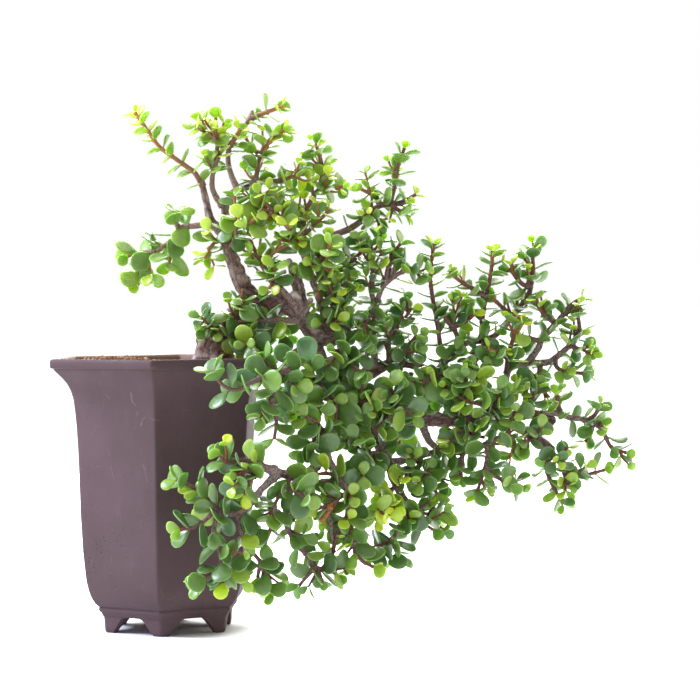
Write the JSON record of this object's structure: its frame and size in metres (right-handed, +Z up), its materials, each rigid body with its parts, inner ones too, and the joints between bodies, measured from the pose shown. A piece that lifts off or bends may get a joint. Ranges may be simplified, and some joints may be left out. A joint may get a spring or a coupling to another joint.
{
  "type": "elephant bush bonsai",
  "caption": "Succulent cascade bonsai with round opposite leaves, arching over one side of a tall hexagonal footed clay pot.",
  "frame": {"origin": "middle of the whole plant's box, on the surface that the pot's feet stand on", "axes": "+X along the cascade to the right, +Y to the back, +Z up"},
  "size_m": [0.5331, 0.277, 0.4896],
  "materials": {
    "clay": "matte",
    "soil": "matte",
    "bark": "matte",
    "foliage": "satin"
  },
  "bodies": {
    "root": {"pot": "clay", "soil": "soil", "trunk_and_limbs": "bark", "crown_left_branch": "foliage", "crown_tall_branch": "foliage", "crown_top_branch": "foliage", "crown_right_branch": "foliage", "crown_front_branch": "foliage", "leader_branch": "foliage", "left_branch": "foliage", "diagonal_branch": "foliage", "trunk_left_branch": "foliage", "trunk_front_branch": "foliage", "trunk_twig_branch": "foliage", "upper_middle_branch": "foliage", "right_upper_branch": "foliage", "rising_branch": "foliage", "rising_right_branch": "foliage", "middle_branch": "foliage", "centre_branch": "foliage", "rough_up_branch": "foliage", "rough_front_branch": "foliage", "rough_top_branch": "foliage", "rough_right_branch": "foliage", "trunk_right_branch": "foliage", "rough_bend_branch": "foliage", "first_upright": "foliage", "second_upright": "foliage", "third_upright": "foliage", "rough_end_branch": "foliage", "rough_under_branch": "foliage", "orange_upright": "foliage", "fork_outer_branch": "foliage", "fork_inner_branch": "foliage", "main_riser_branch": "foliage", "main_front_branch": "foliage", "main_under_branch": "foliage", "main_outer_branch": "foliage", "right_end_branch": "foliage", "lower_right_branch": "foliage", "lower_right_inner_branch": "foliage", "under_branch": "foliage", "cascade_side_branch": "foliage", "centre_left_branch": "foliage", "centre_low_left_branch": "foliage", "centre_middle_branch": "foliage", "centre_right_branch": "foliage", "cascade_front_branch": "foliage", "cascade_end_branch": "foliage", "cascade_rosette_branch": "foliage", "rim_branch": "foliage", "lower_left_tip_branch": "foliage", "lower_left_right_branch": "foliage", "front_fall_branch": "foliage", "lower_middle_branch": "foliage", "lower_centre_branch": "foliage", "rear_low_branch": "foliage", "rear_high_branch": "foliage", "rear_right_branch": "foliage", "rear_left_branch": "foliage"}
  },
  "joints": []
}
